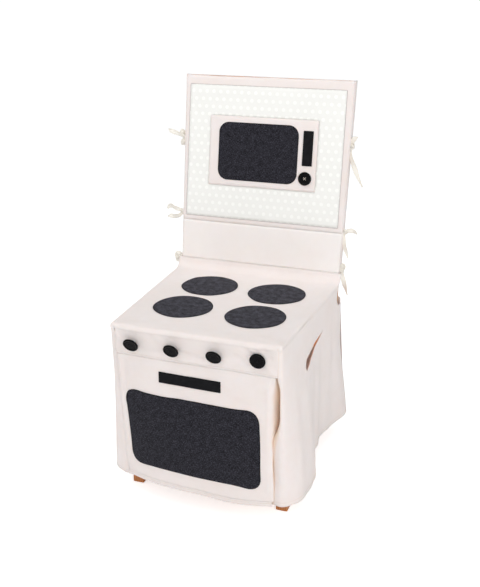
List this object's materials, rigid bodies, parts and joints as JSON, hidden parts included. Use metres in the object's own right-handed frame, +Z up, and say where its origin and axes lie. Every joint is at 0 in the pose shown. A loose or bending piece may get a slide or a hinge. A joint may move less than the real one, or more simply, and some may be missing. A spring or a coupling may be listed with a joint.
{
  "type": "toy oven chair cover",
  "caption": "Cloth play kitchen slipped over a wooden chair: hob on the seat, oven door in front, microwave on the back.",
  "frame": {"origin": "on the floor under the middle of the whole chair and cover, at the bottom centre of the bounding box", "axes": "+Z up; +Y from the oven door to the chair's back, so the front faces -Y; +X to the right as seen from the front"},
  "size_m": [0.4985, 0.5581, 0.9469],
  "materials": {
    "canvas": "plain woven ecru cotton canvas",
    "dotted_cotton": "pale grey cotton with white polka dots",
    "denim": "charcoal denim",
    "webbing": "black woven webbing",
    "cotton_tape": "ecru cotton tape",
    "fastening_tape": "hook and loop tape",
    "button": "black moulded buttons, satin gloss",
    "wood": "lacquered orange-brown hardwood",
    "steel": "zinc plated"
  },
  "bodies": {
    "root": {"back_post_left": "wood", "back_post_right": "wood", "back_slat_1": "wood", "back_slat_2": "wood", "back_slat_3": "wood", "back_slat_4": "wood", "burner_front_left": "denim", "burner_front_right": "denim", "burner_rear_left": "denim", "burner_rear_right": "denim", "closure_flap": "canvas", "control_strip": "canvas", "corner_block_front_left": "wood", "corner_block_front_right": "wood", "corner_block_rear_left": "wood", "corner_block_rear_right": "wood", "cover_border": "canvas", "cover_dotted_panel": "dotted_cotton", "cover_gusset_left": "canvas", "cover_gusset_right": "canvas", "cover_lower_panel": "canvas", "cover_rear_panel": "canvas", "cover_top_gusset": "canvas", "crest_rail": "wood", "front_apron": "wood", "front_hem_band": "canvas", "front_leg_left": "wood", "front_leg_right": "wood", "hob_panel": "canvas", "left_side_panel": "canvas", "loop_tape": "fastening_tape", "lower_back_rail": "wood", "microwave_pocket": "canvas", "rear_apron": "wood", "rear_skirt": "canvas", "right_side_panel": "canvas", "seat_board": "wood", "seat_screws": "steel", "side_apron_left": "wood", "side_apron_right": "wood", "tie_left_lower": "cotton_tape", "tie_left_middle": "cotton_tape", "tie_left_upper": "cotton_tape", "tie_right_lower": "cotton_tape", "tie_right_middle": "cotton_tape", "tie_right_seat": "cotton_tape", "tie_right_upper": "cotton_tape"},
    "oven_door": {"oven_door_panel": "canvas", "oven_window": "denim", "oven_handle": "webbing", "hook_tape": "fastening_tape"},
    "microwave_door": {"microwave_door_panel": "canvas", "microwave_window": "denim", "microwave_handle": "webbing"},
    "knob_left_outer": {"knob_left_outer": "button"},
    "knob_left_inner": {"knob_left_inner": "button"},
    "knob_right_inner": {"knob_right_inner": "button"},
    "knob_right_outer": {"knob_right_outer": "button"},
    "microwave_button": {"microwave_button": "button"}
  },
  "joints": [
    {"name": "oven_door_hinge", "type": "hinge", "parent": "root", "child": "oven_door", "pos_m": [0, -0.2705, 0.0603], "axis": [1, 0, 0], "range_deg": [0, 95]},
    {"name": "microwave_door_hinge", "type": "hinge", "parent": "root", "child": "microwave_door", "pos_m": [-0.1452, 0.22468, 0.75997], "axis": [0, -0.1461, -0.9893], "range_deg": [0, 110]},
    {"name": "knob_left_outer_turn", "type": "hinge", "parent": "root", "child": "knob_left_outer", "pos_m": [-0.149, -0.25849, 0.414], "axis": [0, -0.9135, -0.4067], "range_deg": [-45, 45]},
    {"name": "knob_left_inner_turn", "type": "hinge", "parent": "root", "child": "knob_left_inner", "pos_m": [-0.051, -0.25849, 0.414], "axis": [0, -0.9135, -0.4067], "range_deg": [-45, 45]},
    {"name": "knob_right_inner_turn", "type": "hinge", "parent": "root", "child": "knob_right_inner", "pos_m": [0.05, -0.25849, 0.414], "axis": [0, -0.9135, -0.4067], "range_deg": [-45, 45]},
    {"name": "knob_right_outer_turn", "type": "hinge", "parent": "root", "child": "knob_right_outer", "pos_m": [0.149, -0.25815, 0.414], "axis": [0, -0.9925, -0.1219], "range_deg": [-45, 45]},
    {"name": "microwave_button_turn", "type": "hinge", "parent": "microwave_door", "child": "microwave_button", "pos_m": [0.111, 0.21644, 0.70417], "axis": [0, -0.9893, 0.1461], "range_deg": [-45, 45]}
  ]
}
